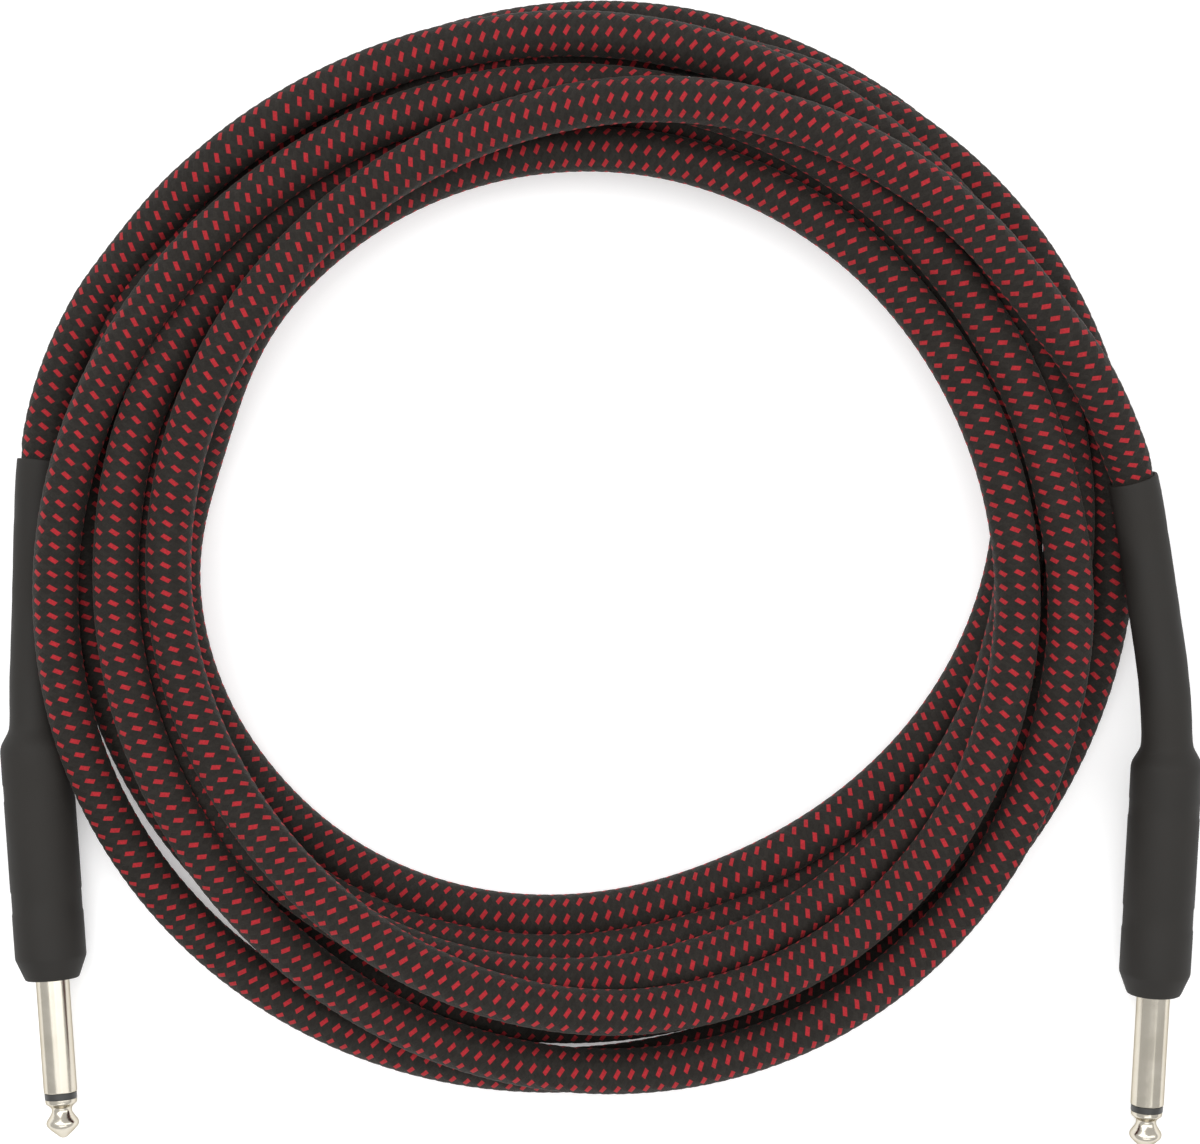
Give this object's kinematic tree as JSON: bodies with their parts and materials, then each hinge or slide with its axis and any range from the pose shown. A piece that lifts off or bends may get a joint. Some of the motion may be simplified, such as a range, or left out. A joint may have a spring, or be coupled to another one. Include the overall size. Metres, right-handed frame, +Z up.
{
  "type": "instrument cable",
  "caption": "Coiled braided instrument cable with a straight two-pole 6.35 mm plug and a long shrink boot on each end.",
  "frame": {"origin": "on the surface, at the middle of the box round the two plugs and their boots", "axes": "+Z up from the surface, +X from the left plug to the right plug, -Y the way the plugs point"},
  "size_m": [0.2294, 0.2243, 0.0312],
  "materials": {
    "braid": "black nylon braid with red flecks",
    "boot_shrink": "matt heat-shrink",
    "plug_metal": "polished nickel",
    "insulator": "satin",
    "terminal_brass": "plain",
    "liner_plastic": "natural",
    "copper": "bare copper",
    "solder": "soldered"
  },
  "bodies": {
    "coil": {"cable_coil": "braid", "left_lead": "braid", "right_lead": "braid"},
    "left_plug": {"left_cable_end": "braid", "left_tip_contact": "plug_metal", "left_tip_insulator": "insulator", "left_sleeve_contact": "plug_metal", "left_terminal_washer": "insulator", "left_tip_terminal": "terminal_brass", "left_ground_terminal": "terminal_brass", "left_barrel_shell": "terminal_brass", "left_barrel_liner": "liner_plastic", "left_boot": "boot_shrink", "left_centre_conductor": "copper", "left_core_insulation": "liner_plastic", "left_shield_drain": "copper", "left_tip_solder": "solder", "left_ground_solder": "solder"},
    "right_plug": {"right_cable_end": "braid", "right_tip_contact": "plug_metal", "right_tip_insulator": "insulator", "right_sleeve_contact": "plug_metal", "right_terminal_washer": "insulator", "right_tip_terminal": "terminal_brass", "right_ground_terminal": "terminal_brass", "right_barrel_shell": "terminal_brass", "right_barrel_liner": "liner_plastic", "right_boot": "boot_shrink", "right_centre_conductor": "copper", "right_core_insulation": "liner_plastic", "right_shield_drain": "copper", "right_tip_solder": "solder", "right_ground_solder": "solder"}
  },
  "joints": [
    {"name": "left_plug_swing", "type": "hinge", "parent": "coil", "child": "left_plug", "pos_m": [-0.10236, 0.08533, 0.0044], "axis": [0, 0, -1], "range_deg": [0, 25], "stiffness_Nm_per_rad": 0.03},
    {"name": "right_plug_swing", "type": "hinge", "parent": "coil", "child": "right_plug", "pos_m": [0.09287, 0.07967, 0.02206], "axis": [0, 0, 1], "range_deg": [0, 25], "stiffness_Nm_per_rad": 0.03}
  ]
}
